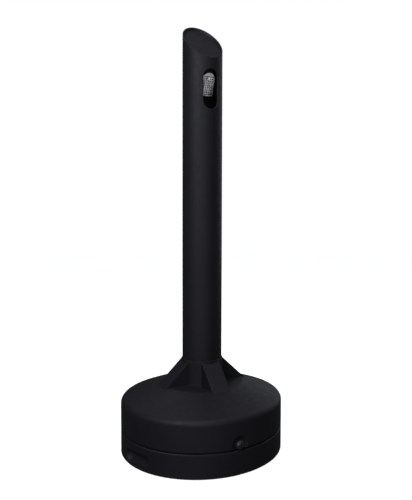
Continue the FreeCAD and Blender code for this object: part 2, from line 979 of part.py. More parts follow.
def make_dome_shell():
    body = new_body("dome_shell")
    wall = size("dome_wall")
    shoulder = size("shoulder_radius")
    under_corner = size("dome_corner") - size("dome_corner_cover")
    under_shoulder = SHOULDER_TOP - wall
    ridge_end = COLLAR - size("buttress_drop") / BUTTRESS_FALL
    turned(
        body,
        [
            (0, SEAM_TOP),
            (BASE, SEAM_TOP),
            (BASE, size("dome_corner")),
            (shoulder, SHOULDER_TOP),
            (COLLAR, YARD),
            (COLLAR, size("collar_top")),
            (0, size("collar_top")),
        ],
    )
    buttress = extruded(
        body,
        "XZ_Plane",
        lambda sketch: polygon(
            sketch,
            [
                (POLE - wall, YARD_UNDER - wall),
                (BUTTRESS_REACH + wall, YARD_UNDER - wall),
                (BUTTRESS_REACH + wall, buttress_face(BUTTRESS_REACH + wall)),
                (ridge_end, size("collar_top")),
                (POLE - wall, size("collar_top")),
            ],
        ),
        size("buttress_width"),
        symmetric=True,
    )
    around(body, [buttress], size("buttress_count"))
    rounded(body, ring_edge(BASE, size("dome_corner")), size("dome_edge_round"))
    rounded(body, ring_edge(BASE, SEAM_TOP), size("dome_lip_round"))
    rounded(body, ring_edge(COLLAR, size("collar_top")), size("collar_round"))
    turned(
        body,
        [
            (0, SEAM_TOP - OVERCUT),
            (DOME_INNER, SEAM_TOP - OVERCUT),
            (DOME_INNER, LEDGE_LOW),
            (DOME_INNER - size("ledge_width"), LEDGE_LOW),
            (DOME_INNER - size("ledge_width"), LEDGE_TOP),
            (DOME_INNER, LEDGE_TOP + size("ledge_width")),
            (DOME_INNER, under_corner),
            (shoulder, under_shoulder),
            (SOCKET_OUTER, YARD_UNDER),
            (SOCKET_OUTER, FLANGE_TOP),
            (0, FLANGE_TOP),
        ],
        cut=True,
    )
    # boss behind the latch
    boss = size("boss_half_width")
    extruded(
        body,
        "XZ_Plane",
        lambda sketch: polygon(
            sketch, box_outline(-boss, boss, SEAM_TOP, LATCH + size("boss_headroom"))
        ),
        DOME_INNER + OVERCUT - BOSS_FACE,
        start=BOSS_FACE,
    )
    # hollow of each buttress, then the web that carries the flange screw
    inner_fall = size("buttress_cover")
    foot = BUTTRESS_REACH - (inner_fall + wall) / BUTTRESS_FALL
    hollow_outline = [
        (SOCKET_OUTER - OVERCUT * 0.5, YARD_UNDER - OVERCUT),
        (foot, YARD_UNDER - OVERCUT),
        (foot, buttress_face(foot) - inner_fall),
        (SOCKET_OUTER - OVERCUT * 0.5, buttress_face(SOCKET_OUTER) - inner_fall),
    ]
    hollow = extruded(
        body,
        "XZ_Plane",
        lambda sketch: polygon(sketch, hollow_outline),
        size("buttress_width") - wall * 2.0,
        cut=True,
        symmetric=True,
    )
    around(body, [hollow], size("buttress_count"))
    web = extruded(
        body,
        "XZ_Plane",
        lambda sketch: polygon(
            sketch,
            [
                (SOCKET_OUTER - OVERCUT, YARD_UNDER),
                (foot + OVERCUT, YARD_UNDER),
                (foot + OVERCUT, buttress_face(foot) - inner_fall),
                (SOCKET_OUTER - OVERCUT, buttress_face(SOCKET_OUTER) - inner_fall * 0.5),
            ],
        ),
        size("buttress_web"),
        symmetric=True,
    )
    standoff = extruded(
        body,
        "XY_Plane",
        lambda sketch: circle(sketch, SCREW_CIRCLE, 0, size("standoff_radius")),
        YARD_UNDER - FLANGE_TOP + OVERCUT * 2,
        start=FLANGE_TOP,
    )
    around(body, [web, standoff], size("buttress_count"))
    insert_hole = extruded(
        body,
        "XY_Plane",
        lambda sketch: circle(sketch, SCREW_CIRCLE, 0, size("insert_radius")),
        size("flange_screw_length") + OVERCUT * 3,
        start=FLANGE_TOP - OVERCUT,
        cut=True,
    )
    around(body, [insert_hole], size("buttress_count"))
    extruded(
        body,
        "XY_Plane",
        lambda sketch: circle(sketch, 0, 0, SOCKET_BORE),
        size("collar_top") - FLANGE_TOP + OVERCUT * 2,
        start=FLANGE_TOP - OVERCUT,
        cut=True,
    )
    # seat of the knob and the bushing's hole through the boss
    cut_scoop(body)
    extruded(
        body,
        "XZ_Plane",
        lambda sketch: circle(sketch, 0, LATCH, size("bushing_radius") + size("thread_clearance")),
        BEYOND + size("boss_depth"),
        start=BOSS_FACE - OVERCUT,
        cut=True,
    )
    return body


def make_pole_flange():
    body = new_body("pole_flange")
    turned(
        body,
        [
            (POLE_BORE, FLANGE_LOW),
            (FLANGE_RADIUS, FLANGE_LOW),
            (FLANGE_RADIUS, FLANGE_TOP),
            (POLE_BORE, FLANGE_TOP),
        ],
    )
    hole = extruded(
        body,
        "XY_Plane",
        lambda sketch: circle(
            sketch,
            SCREW_CIRCLE,
            0,
            size("flange_screw_radius") + size("fit_gap"),
        ),
        size("flange_thickness") + OVERCUT * 2,
        start=FLANGE_LOW - OVERCUT,
        cut=True,
    )
    around(body, [hole], size("buttress_count"))
    return body


def make_flange_inserts():
    body = new_body("flange_inserts")
    inner = size("flange_screw_radius") + size("thread_clearance")
    outer = size("insert_radius") - size("thread_clearance")
    top = FLANGE_TOP + size("insert_length")
    insert = turned(
        body,
        [(inner, FLANGE_TOP), (outer, FLANGE_TOP), (outer, top), (inner, top)],
        across=SCREW_CIRCLE,
    )
    around(body, [insert], size("buttress_count"))
    return body


def make_flange_screws():
    body = new_body("flange_screws")
    outline = screw_outline(
        FLANGE_LOW,
        size("screw_head_radius"),
        size("screw_head_height"),
        size("flange_screw_radius"),
        size("flange_screw_length"),
        upward=-1,
    )
    screw = turned(body, outline, across=SCREW_CIRCLE)
    around(body, [screw], size("buttress_count"))
    return body


# ---------------------------------------------------------------- pole, cap and stub plate

SLANT = size("slant_angle")


def rim_height(y, drop):
    """Height at a depth y of the slanted plane that lies drop below the rim, measured square to it."""
    return size("overall_height") - (POLE - y) * tan_of(SLANT) - drop / cos_of(SLANT)


def slanted_band(y_low, y_high, top_drop, bottom_drop):
    """Side outline of a layer that follows the slant between two depths below the rim."""
    return [
        (y_low, rim_height(y_low, bottom_drop)),
        (y_high, rim_height(y_high, bottom_drop)),
        (y_high, rim_height(y_high, top_drop)),
        (y_low, rim_height(y_low, top_drop)),
    ]


PAD_DROP = size("cap_recess") + size("cap_thickness") + size("cap_pad_thickness")


def bracket_screw_depths():
    """Depths y of the two screws that hold the bracket to the cap's pad."""
    start, end = size("cap_pad_start"), size("cap_pad_end")
    return (start + (end - start) * 0.35, start + (end - start) * 0.8)


def square_hole(body, base, tilt, radius, length):
    """Cuts a round hole upwards from a point (y, z), square to a plane tilted about the left-right axis."""
    sketch = new_sketch(body, "XY_Plane", tilt=tilt)
    bind(sketch, "AttachmentOffset.Base.y", base[0])
    bind(sketch, "AttachmentOffset.Base.z", base[1])
    circle(sketch, 0, 0, radius)
    pocket = body.newObject("PartDesign::Pocket", f"{body.Name}_hole")
    pocket.Profile = sketch
    pocket.Reversed = True
    bind(pocket, "Length", length)
    return finish_feature(body, pocket)


def below_pad(along, gap):
    """(y, z) on the axis of the bracket screw at a depth y, a gap below the cap's pad."""
    return (
        along + sin_of(SLANT) * gap,
        rim_height(along, PAD_DROP) - cos_of(SLANT) * gap,
    )


def slot_mouth_edge(edge):
    """Picks the edges where the opening meets the pole's outside."""
    middle = edge.valueAt((edge.FirstParameter + edge.LastParameter) / 2)
    return all(
        abs(math.hypot(point.x, point.y) - POLE.value) < NEAR
        and point.y < 0
        and size("slot_bottom").value - NEAR < point.z < size("slot_top").value + NEAR
        for point in [middle] + [vertex.Point for vertex in edge.Vertexes]
    )


def make_pole_tube():
    body = new_body("pole_tube")
    turned(
        body,
        [
            (POLE_BORE, FLANGE_TOP),
            (POLE, FLANGE_TOP),
            (POLE, size("overall_height") + OVERCUT),
            (POLE_BORE, size("overall_height") + OVERCUT),
        ],
    )
    far = POLE + size("pole_wall")
    extruded(
        body,
        "YZ_Plane",
        lambda sketch: polygon(sketch, slanted_band(-far, far, Size.of(-BEYOND * 5.0), Size.of(0))),
        BASE,
        cut=True,
        symmetric=True,
    )
    rounded(body, lambda edge: isinstance(edge.Curve, Part.Ellipse), size("rim_round"))
    extruded(
        body,
        "XZ_Plane",
        lambda sketch: capsule(
            sketch, size("slot_bottom"), size("slot_top"), size("slot_half_width")
        ),
        far,
        cut=True,
    )
    rounded(body, slot_mouth_edge, size("slot_round"))
    return body


def outside_of(sketch, radius):
    circle(sketch, 0, 0, radius)
    circle(sketch, 0, 0, BASE)


def make_top_cap():
    """A slanted panel with a short skirt inside the pole, and a pad below for the bracket."""
    body = new_body("top_cap")
    reach = POLE_BORE - size("bond_gap")
    far = POLE + size("pole_wall")
    panel_low = size("cap_recess") + size("cap_thickness")
    trim_start = rim_height(-far, panel_low + size("cap_skirt_depth") + BEYOND * 0.5)
    trim_length = size("overall_height") - trim_start + BEYOND * 0.5

    def trimmed():
        extruded(
            body,
            "XY_Plane",
            lambda sketch: outside_of(sketch, reach),
            trim_length,
            start=trim_start,
            cut=True,
        )

    extruded(
        body,
        "YZ_Plane",
        lambda sketch: polygon(
            sketch, slanted_band(-far, far, panel_low - OVERCUT, panel_low + size("cap_skirt_depth"))
        ),
        POLE * 2.0,
        symmetric=True,
    )
    trimmed()
    extruded(
        body,
        "XY_Plane",
        lambda sketch: circle(sketch, 0, 0, reach - size("cap_skirt_wall")),
        trim_length,
        start=trim_start,
        cut=True,
    )
    extruded(
        body,
        "YZ_Plane",
        lambda sketch: polygon(sketch, slanted_band(-far, far, size("cap_recess"), panel_low)),
        POLE * 2.0,
        symmetric=True,
    )
    trimmed()
    extruded(
        body,
        "YZ_Plane",
        lambda sketch: polygon(
            sketch,
            slanted_band(
                size("cap_pad_start"),
                size("cap_pad_end"),
                panel_low - OVERCUT,
                panel_low + size("cap_pad_thickness"),
            ),
        ),
        size("cap_pad_width"),
        symmetric=True,
    )
    bore = size("rivet_radius") + size("thread_clearance")
    for along in bracket_screw_depths():
        square_hole(body, below_pad(along, OVERCUT), SLANT, bore, size("cap_pad_thickness"))
    return body


STUB_TOP_Y = -POLE_BORE + size("stub_set_back")
STUB_TOP_Z = size("slot_top") - size("stub_top_drop")
STUB_TILT = size("stub_angle") - 90.0


def stub_point(along, above):
    """(y, z) of a point that lies along the stub plate from its top edge, and above its front face."""
    down_y, down_z = sin_of(size("stub_angle")), cos_of(size("stub_angle"))
    return (
        STUB_TOP_Y + along * down_y + above * down_z,
        STUB_TOP_Z - along * down_z + above * down_y,
    )


def make_stub_plate():
    """A perforated plate whose lower edge is folded back; it is drawn flat and then tilted."""
    body = new_body("stub_plate")
    half = size("stub_width") * 0.5
    sheet_thickness = size("stub_sheet")
    length = size("stub_length")
    for outline in (
        lambda sketch: capsule(sketch, 0, length, half),
        lambda sketch: polygon(sketch, box_outline(-half, half, half, length)),
    ):
        extruded(body, "XY_Plane", outline, sheet_thickness)
    pitch = size("hole_pitch")
    first_x = pitch * 0.5 * (1 - size("hole_columns"))
    first_y = length - size("hole_end_margin") - pitch * (size("hole_rows") - 1)
    hole = extruded(
        body,
        "XY_Plane",
        lambda sketch: circle(sketch, first_x, first_y, size("hole_radius")),
        sheet_thickness + OVERCUT * 2,
        start=-OVERCUT,
        cut=True,
    )
    holes = body.newObject("PartDesign::LinearPattern", "stub_plate_holes")
    holes.Originals = [hole]
    holes.Direction = (origin_item(body, "X_Axis"), [""])
    holes.Direction2 = (origin_item(body, "Y_Axis"), [""])
    bind(holes, "Length", pitch * (size("hole_columns") - 1))
    bind(holes, "Length2", pitch * (size("hole_rows") - 1))
    bind(holes, "Occurrences", size("hole_columns"))
    bind(holes, "Occurrences2", size("hole_rows"))
    body.Tip = holes
    finish_feature(body, holes)
    lip = extruded(
        body,
        "XY_Plane",
        lambda sketch: polygon(
            sketch, box_outline(-half, half, length - sheet_thickness, length)
        ),
        size("stub_lip"),
    )
    body.Tip = lip
    rivet_hole = extruded(
        body,
        "XY_Plane",
        lambda sketch: circle(
            sketch, 0, size("rivet_along"), size("rivet_radius") + size("thread_clearance")
        ),
        sheet_thickness + OVERCUT * 2,
        start=-OVERCUT,
        cut=True,
    )
    body.Tip = rivet_hole
    place(body, y=STUB_TOP_Y, z=STUB_TOP_Z, tilt=STUB_TILT)
    return body


def make_stub_bracket():
    """Leg behind the plate, riser, and flange against the cap's pad, all folded from one strip."""
    body = new_body("stub_bracket")
    sheet_thickness = size("bracket_sheet")
    back = size("stub_sheet")
    leg_start, leg_end = size("leg_start"), size("leg_end")
    leg = [
        stub_point(leg_start, back),
        stub_point(leg_end, back),
        stub_point(leg_end, back + sheet_thickness),
        stub_point(leg_start, back + sheet_thickness),
    ]
    riser_y = leg[0][0]
    riser_low = leg[0][1]
    riser = [
        (riser_y, riser_low),
        (riser_y + sheet_thickness, riser_low),
        (riser_y + sheet_thickness, rim_height(riser_y + sheet_thickness, PAD_DROP)),
        (riser_y, rim_height(riser_y, PAD_DROP)),
    ]
    flange = slanted_band(
        riser_y, size("cap_pad_end"), PAD_DROP, PAD_DROP + sheet_thickness
    )
    for outline in (leg, riser, flange):
        extruded(
            body,
            "YZ_Plane",
            lambda sketch: polygon(sketch, outline),
            size("bracket_width"),
            symmetric=True,
        )
    bore = size("rivet_radius") + size("thread_clearance")
    for along in bracket_screw_depths():
        square_hole(body, below_pad(along, sheet_thickness * 2), SLANT, bore, sheet_thickness * 3)
    rivet_base = stub_point(size("rivet_along"), Size.of(0))
    square_hole(body, rivet_base, STUB_TILT, bore, sheet_thickness + back + OVERCUT)
    return body


def make_stub_rivet():
    body = new_body("stub_rivet")
    stack = size("stub_sheet") + size("bracket_sheet")
    head, height = size("rivet_head_radius"), size("rivet_head_height")
    turned(
        body,
        [
            (0, -height),
            (head - height * 0.5, -height),
            (head, 0),
            (size("rivet_radius"), 0),
            (size("rivet_radius"), stack),
            (head - height * 0.5, stack),
            (head - height, stack + height),
            (0, stack + height),
        ],
    )
    rivet_y, rivet_z = stub_point(size("rivet_along"), Size.of(0))
    place(body, y=rivet_y, z=rivet_z, tilt=STUB_TILT)
    return body


def make_bracket_screws():
    """Two separate small screws, square to the cap; one node of two solids."""
    singles = []
    for along in bracket_screw_depths():
        seat = -size("bracket_sheet")
        head_height = size("rivet_head_height")
        body = new_body("bracket_screw")
        turned(
            body,
            [
                (0, seat - head_height),
                (size("rivet_head_radius"), seat - head_height),
                (size("rivet_head_radius"), seat),
                (size("rivet_radius"), seat),
                (size("rivet_radius"), size("bracket_screw_length")),
                (0, size("bracket_screw_length")),
            ],
        )
        place(body, y=along, z=rim_height(along, PAD_DROP), tilt=SLANT)
        singles.append(body)
    group = doc.addObject("Part::Compound", "bracket_screws")
    group.Links = singles
    return group


# ---------------------------------------------------------------- latch


def forward(body, shape, start, length, cut=False):
    """Extrudes a shape drawn on the front plane from a distance in front of the axis, outwards."""
    return extruded(body, "XZ_Plane", shape, length, start=start, cut=cut)


def make_latch_bushing():
    body = new_body("latch_bushing")
    flange, tube = size("bushing_flange_radius"), size("bushing_radius")
    forward(body, lambda sketch: circle(sketch, 0, LATCH, flange), SEAT, size("bushing_flange"))
    length = size("bushing_length")
    forward(body, lambda sketch: circle(sketch, 0, LATCH, tube), SEAT - length, length)
    bore = size("spindle_radius") + size("running_gap")
    forward(
        body,
        lambda sketch: circle(sketch, 0, LATCH, bore),
        SEAT - length - OVERCUT,
        length + size("bushing_flange") + OVERCUT * 2,
        cut=True,
    )
    return body


def hexagon(sketch, across_flats):
    """A regular hexagon round the latch's axis, with two flats level."""
    flat = across_flats * 0.5
    corner = flat / cos_of(Size.of(30.0))
    polygon(
        sketch,
        [
            (corner, LATCH),
            (corner * 0.5, LATCH + flat),
            (corner * -0.5, LATCH + flat),
            (-corner, LATCH),
            (corner * -0.5, LATCH - flat),
            (corner * 0.5, LATCH - flat),
        ],
    )


def make_latch_nut():
    body = new_body("latch_nut")
    thickness = size("nut_thickness")
    forward(
        body, lambda sketch: hexagon(sketch, size("nut_across_flats")), BOSS_FACE - thickness, thickness
    )
    bore = size("bushing_radius") + size("thread_clearance")
    forward(
        body,
        lambda sketch: circle(sketch, 0, LATCH, bore),
        BOSS_FACE - thickness - OVERCUT,
        thickness + OVERCUT * 2,
        cut=True,
    )
    return body


CAM_FACE = SEAT - size("bushing_length") - size("thread_clearance") * 2.0
CAM_BACK = CAM_FACE - size("cam_thickness")
KNOB_LOW = SEAT + size("bushing_flange") + size("running_gap") * 2.0


def spindle_square(sketch, half):
    polygon(sketch, box_outline(-half, half, LATCH - half, LATCH + half))


def knob_face_edge(edge):
    """Picks the two circles that bound the sloping ring of the knob's face."""
    curve = edge.Curve
    return isinstance(curve, Part.Circle) and (
        (abs(curve.Radius - size("knob_radius").value) < NEAR and curve.Center.y < -KNOB_LOW.value - NEAR)
        or abs(curve.Radius - size("knob_crown").value) < NEAR
    )


def make_latch_knob():
    """Domed knob with a coin slot, in one piece with its spindle and the square that drives the cam."""
    body = new_body("latch_knob")
    head_low = KNOB_LOW
    head_top = head_low + size("knob_height")
    rim = head_top - size("knob_dome")
    sketch = new_sketch(body, "YZ_Plane")
    polygon(
        sketch,
        [
            (-CAM_FACE, LATCH),
            (-CAM_FACE, LATCH + size("spindle_radius")),
            (-head_low, LATCH + size("spindle_radius")),
            (-head_low, LATCH + size("knob_radius")),
            (-rim, LATCH + size("knob_radius")),
            (-head_top, LATCH + size("knob_crown")),
            (-head_top, LATCH),
        ],
    )
    spun = body.newObject("PartDesign::Revolution", "latch_knob_turned")
    spun.Profile = sketch
    spun.ReferenceAxis = (sketch, ["Edge7"])
    spun.Angle = 360
    finish_feature(body, spun)
    rounded(body, knob_face_edge, size("knob_round"))
    half = size("spindle_square")
    forward(
        body,
        lambda square: spindle_square(square, half),
        CAM_BACK,
        size("cam_thickness") + OVERCUT,
    )
    slot = size("knob_slot") * 0.5
    forward(
        body,
        lambda outline: polygon(
            outline,
            box_outline(
                -slot, slot, LATCH - size("knob_slot_length") * 0.5, LATCH + size("knob_slot_length") * 0.5
            ),
        ),
        head_top - size("knob_slot_depth"),
        size("knob_slot_depth") + OVERCUT,
        cut=True,
    )
    pilot = size("cam_screw_shank") + size("thread_clearance")
    forward(
        body,
        lambda outline: circle(outline, 0, LATCH, pilot),
        CAM_BACK - OVERCUT,
        size("cam_screw_length") + OVERCUT * 3,
        cut=True,
    )
    return body


def make_latch_cam():
    """A flat cam that hangs down when open and swings sideways under the keeper's shelf."""
    body = new_body("latch_cam")
    half = size("cam_width") * 0.5
    thickness = size("cam_thickness")
    forward(
        body,
        lambda sketch: polygon(
            sketch, box_outline(-half, half, LATCH - size("cam_length") + half, LATCH)
        ),
        CAM_BACK,
        thickness,
    )
    for radius, height in (
        (half, LATCH - size("cam_length") + half),
        (size("cam_hub_radius"), LATCH),
    ):
        forward(body, lambda sketch: circle(sketch, 0, height, radius), CAM_BACK, thickness)
    hole = size("spindle_square") + size("thread_clearance")
    forward(
        body,
        lambda sketch: spindle_square(sketch, hole),
        CAM_BACK - OVERCUT,
        thickness + OVERCUT * 2,
        cut=True,
    )
    return body


def make_cam_screw():
    body = new_body("cam_screw")
    head, shank = size("cam_screw_radius"), size("cam_screw_shank")
    forward(
        body,
        lambda sketch: circle(sketch, 0, LATCH, head),
        CAM_BACK - size("cam_screw_head"),
        size("cam_screw_head"),
    )
    forward(
        body,
        lambda sketch: circle(sketch, 0, LATCH, shank),
        CAM_BACK,
        size("cam_screw_length"),
    )
    return body


# ---------------------------------------------------------------- build, check and write

MAKERS = (
    make_lower_shell,
    make_rubber_feet,
    make_ballast_ring,
    make_ballast_washers,
    make_ballast_screws,
    make_rim_seal,
    make_latch_keeper,
    make_keeper_screws,
    make_butt_pail,
    make_pivot_studs,
    make_bail_strap,
    make_dome_shell,
    make_pole_flange,
    make_flange_inserts,
    make_flange_screws,
    make_pole_tube,
    make_top_cap,
    make_stub_plate,
    make_stub_bracket,
    make_stub_rivet,
    make_bracket_screws,
    make_latch_bushing,
    make_latch_nut,
    make_latch_knob,
    make_latch_cam,
    make_cam_screw,
)

pieces = [make() for make in MAKERS]
doc.recompute()

for item in doc.Objects:
    if "Invalid" in item.State or "Error" in item.State:
        raise ValueError(f"{item.Label} did not compute: {item.State}")
for piece in pieces:
    if piece.Shape.isNull() or not piece.Shape.isValid():
        raise ValueError(f"{piece.Label} has no valid shape")

os.makedirs("parts", exist_ok=True)
for piece in pieces:
    piece.Shape.exportStep(f"parts/{piece.Label}.step")
    print(piece.Label, len(piece.Shape.Solids), round(piece.Shape.Volume))
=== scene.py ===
"""Looks of the ashtray bin: a studio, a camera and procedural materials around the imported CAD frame."""

import math

import bpy
from mathutils import Matrix, Vector

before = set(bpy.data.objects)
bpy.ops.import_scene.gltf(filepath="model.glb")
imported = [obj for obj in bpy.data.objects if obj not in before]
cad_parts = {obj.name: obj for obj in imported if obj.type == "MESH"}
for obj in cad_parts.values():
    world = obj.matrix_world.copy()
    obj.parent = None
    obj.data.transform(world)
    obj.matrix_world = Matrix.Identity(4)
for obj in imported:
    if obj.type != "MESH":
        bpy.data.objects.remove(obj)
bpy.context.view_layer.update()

MM = 0.001


# Shader building

class Shader:
    """A material's node tree, with one call for each kind of node that the materials below use."""

    def __init__(self, name):
        self.material = bpy.data.materials.new(name)
        self.material.use_nodes = True
        self.tree = self.material.node_tree
        self.tree.nodes.clear()
        self.output = self.tree.nodes.new("ShaderNodeOutputMaterial")
        self.surface = self.tree.nodes.new("ShaderNodeBsdfPrincipled")
        self.tree.links.new(self.surface.outputs["BSDF"], self.output.inputs["Surface"])
        self.place = self.tree.nodes.new("ShaderNodeTexCoord").outputs["Object"]

    def feed(self, socket, value):
        """Links a socket to another node's output, or sets it to a plain value."""
        if isinstance(value, bpy.types.NodeSocket):
            self.tree.links.new(value, socket)
        else:
            socket.default_value = value

    def fixed(self, **values):
        """Plain numbers on the shader's own sockets, such as metallic=1.0."""
        for name, value in values.items():
            socket = name.replace("_", " ").title().replace("Ior", "IOR")
            self.surface.inputs[socket].default_value = value

    def stretched(self, x, y, z):
        """The object's coordinates with each axis scaled, for grain that runs one way."""
        node = self.tree.nodes.new("ShaderNodeMapping")
        node.inputs["Scale"].default_value = (x, y, z)
        self.feed(node.inputs["Vector"], self.place)
        return node.outputs["Vector"]

    def noise(self, scale, detail=2.0, roughness=0.5, distortion=0.0, where=None):
        node = self.tree.nodes.new("ShaderNodeTexNoise")
        node.inputs["Scale"].default_value = scale
        node.inputs["Detail"].default_value = detail
        node.inputs["Roughness"].default_value = roughness
        node.inputs["Distortion"].default_value = distortion
        self.feed(node.inputs["Vector"], where or self.place)
        return node.outputs["Fac"]

    def cells(self, scale, output="Distance", feature="F1", where=None):
        node = self.tree.nodes.new("ShaderNodeTexVoronoi")
        node.feature = feature
        node.inputs["Scale"].default_value = scale
        self.feed(node.inputs["Vector"], where or self.place)
        return node.outputs[output]

    def ramp(self, value, low, high, start=0.0, end=1.0):
        """A number carried from start..end to low..high, held at both ends."""
        node = self.tree.nodes.new("ShaderNodeMapRange")
        node.inputs["From Min"].default_value = start
        node.inputs["From Max"].default_value = end
        self.feed(node.inputs["To Min"], low)
        self.feed(node.inputs["To Max"], high)
        self.feed(node.inputs["Value"], value)
        return node.outputs["Result"]

    def maths(self, operation, first, second=0.5):
        node = self.tree.nodes.new("ShaderNodeMath")
        node.operation = operation
        self.feed(node.inputs[0], first)
        self.feed(node.inputs[1], second)
        return node.outputs[0]

    def blend(self, amount, first, second):
        """A colour between first and second."""
        node = self.tree.nodes.new("ShaderNodeMix")
        node.data_type = "RGBA"
        self.feed(node.inputs[0], amount)
        for socket, value in ((node.inputs[6], first), (node.inputs[7], second)):
            self.feed(socket, value if isinstance(value, bpy.types.NodeSocket) else (*value, 1.0))
        return node.outputs[2]

    def height(self):
        """How far up the object a point is, in metres."""
        node = self.tree.nodes.new("ShaderNodeSeparateXYZ")
        self.feed(node.inputs[0], self.place)
        return node.outputs["Z"]

    def eased_edges(self, radius):
        """The surface's normal with every sharp edge softened over a radius in metres."""
        node = self.tree.nodes.new("ShaderNodeBevel")
        node.samples = 6
        node.inputs["Radius"].default_value = radius
        return node.outputs["Normal"]

    def bump(self, depth, amount, under=None):
        """A bump of a depth in metres, laid over another bump."""
        node = self.tree.nodes.new("ShaderNodeBump")
        node.inputs["Distance"].default_value = depth
        self.feed(node.inputs["Height"], amount)
        if under is not None:
            self.feed(node.inputs["Normal"], under)
        return node.outputs["Normal"]

    def finish(self, colour, roughness, normal=None):
        self.feed(self.surface.inputs["Base Color"], colour)
        self.feed(self.surface.inputs["Roughness"], roughness)
        if normal is not None:
            self.feed(self.surface.inputs["Normal"], normal)
        return self.material


# Materials

def moulded_plastic(name, dark, light, waviness):
    """Charcoal polyethylene from a textured mould: cloudy, grained, and paler where it is rubbed."""
    s = Shader(name)
    clouds = s.noise(7.0, 4.0, 0.55)
    colour = s.blend(s.ramp(clouds, 0.0, 1.0, 0.35, 0.68), dark, light)
    scuffs = s.noise(26.0, 6.0, 0.7, 0.6, s.stretched(1.0, 1.0, 7.0))
    low_down = s.ramp(s.height(), 1.0, 0.0, 0.004, 0.045)
    rubbed = s.maths("MULTIPLY", s.ramp(scuffs, 0.0, 0.55, 0.58, 0.72), low_down)
    colour = s.blend(rubbed, colour, tuple(3.0 * c for c in light))
    grain = s.noise(1500.0, 3.0, 0.6)
    pits = s.cells(620.0, feature="SMOOTH_F1")
    roughness = s.ramp(s.noise(90.0, 3.0), 0.56, 0.66, 0.3, 0.7)
    normal = s.bump(waviness, s.noise(16.0, 1.0), s.eased_edges(1.6 * MM))
    normal = s.bump(0.05 * MM, pits, normal)
    normal = s.bump(0.03 * MM, grain, normal)
    s.fixed(specular_ior_level=0.32)
    return s.finish(colour, roughness, normal)


def foot_rubber():
    """Black rubber, dusty where it has stood on the ground."""
    s = Shader("foot_rubber")
    dust = s.noise(120.0, 5.0, 0.65)
    colour = s.blend(s.ramp(dust, 0.0, 0.7, 0.5, 0.75), (0.012, 0.012, 0.012), (0.05, 0.047, 0.043))
    normal = s.bump(0.08 * MM, s.noise(900.0, 3.0))
    return s.finish(colour, s.ramp(dust, 0.72, 0.92), normal)


def seal_rubber():
    """Closed-cell sealing rubber with an open, sponge-like skin."""
    s = Shader("seal_rubber")
    pores = s.cells(1100.0)
    colour = s.blend(s.ramp(pores, 0.0, 1.0, 0.1, 0.6), (0.008, 0.008, 0.008), (0.028, 0.028, 0.03))
    return s.finish(colour, s.ramp(pores, 0.95, 0.8), s.bump(0.12 * MM, pores))


def ballast_iron():
    """Sand-cast iron under a thin dark paint, with rust coming through."""
    s = Shader("ballast_iron")
    sand = s.noise(420.0, 5.0, 0.7)
    rust = s.ramp(s.noise(34.0, 6.0, 0.7, 0.4), 0.0, 1.0, 0.56, 0.66)
    painted = s.blend(s.noise(60.0), (0.035, 0.036, 0.038), (0.06, 0.06, 0.062))
    colour = s.blend(rust, painted, (0.16, 0.055, 0.02))
    s.fixed(metallic=0.15)
    return s.finish(colour, s.ramp(rust, 0.58, 0.9), s.bump(0.25 * MM, sand))


def zinc_steel():
    """Bright zinc plating with a faint blue and yellow cast."""
    s = Shader("zinc_steel")
    cast = s.noise(55.0, 3.0, 0.6)
    colour = s.blend(s.ramp(cast, 0.0, 1.0, 0.35, 0.65), (0.60, 0.62, 0.65), (0.66, 0.62, 0.53))
    wear = s.noise(700.0, 3.0, 0.6, 0.0, s.stretched(1.0, 1.0, 0.2))
    s.fixed(metallic=1.0)
    return s.finish(colour, s.ramp(wear, 0.28, 0.46), s.bump(0.012 * MM, wear))


def pail_steel():
    """Hot-dip galvanised steel: large zinc crystals, each of its own shade, with soot low down."""
    s = Shader("pail_steel")
    crystals = s.cells(75.0, "Color", where=s.stretched(1.0, 1.0, 0.8))
    pick = s.tree.nodes.new("ShaderNodeSeparateColor")
    s.feed(pick.inputs[0], crystals)
    shade = pick.outputs["Red"]
    colour = s.blend(shade, (0.42, 0.44, 0.46), (0.66, 0.67, 0.68))
    soot_edge = s.maths("ADD", s.height(), s.ramp(s.noise(22.0, 5.0, 0.65), -0.02, 0.02, 0.3, 0.7))
    soot = s.ramp(soot_edge, 0.75, 0.0, 0.024, 0.062)
    colour = s.blend(soot, colour, (0.07, 0.062, 0.055))
    s.fixed(metallic=0.95)
    return s.finish(colour, s.ramp(shade, 0.30, 0.52), s.bump(0.02 * MM, s.noise(260.0, 3.0)))


def insert_brass():
    """Turned brass, tarnished in the knurls."""
    s = Shader("insert_brass")
    tarnish = s.noise(160.0, 4.0, 0.6)
    colour = s.blend(s.ramp(tarnish, 0.0, 0.7, 0.45, 0.7), (0.72, 0.50, 0.20), (0.34, 0.21, 0.08))
    knurls = s.cells(1300.0, where=s.stretched(1.0, 1.0, 0.35))
    s.fixed(metallic=1.0)
    return s.finish(colour, s.ramp(tarnish, 0.25, 0.45), s.bump(0.06 * MM, knurls))


def stub_steel():
    """Brushed stainless sheet, smoked and smudged with ash."""
    s = Shader("stub_steel")
    brushing = s.noise(420.0, 4.0, 0.7, 0.0, s.stretched(7.0, 0.35, 0.35))
    ash = s.noise(115.0, 5.0, 0.7, 0.3)
    clean = s.blend(brushing, (0.46, 0.455, 0.44), (0.72, 0.71, 0.69))
    colour = s.blend(s.ramp(ash, 0.0, 0.8, 0.45, 0.72), clean, (0.11, 0.10, 0.09))
    s.fixed(metallic=0.9)
    return s.finish(colour, s.ramp(ash, 0.36, 0.62), s.bump(0.02 * MM, brushing))


def bracket_paint():
    """Black stove enamel on bent sheet, chipped here and there."""
    s = Shader("bracket_paint")
    chips = s.ramp(s.noise(180.0, 5.0, 0.65), 0.0, 1.0, 0.66, 0.7)
    colour = s.blend(chips, (0.011, 0.011, 0.012), (0.22, 0.21, 0.2))
    return s.finish(colour, s.ramp(chips, 0.5, 0.35), s.bump(0.02 * MM, s.noise(700.0, 3.0)))


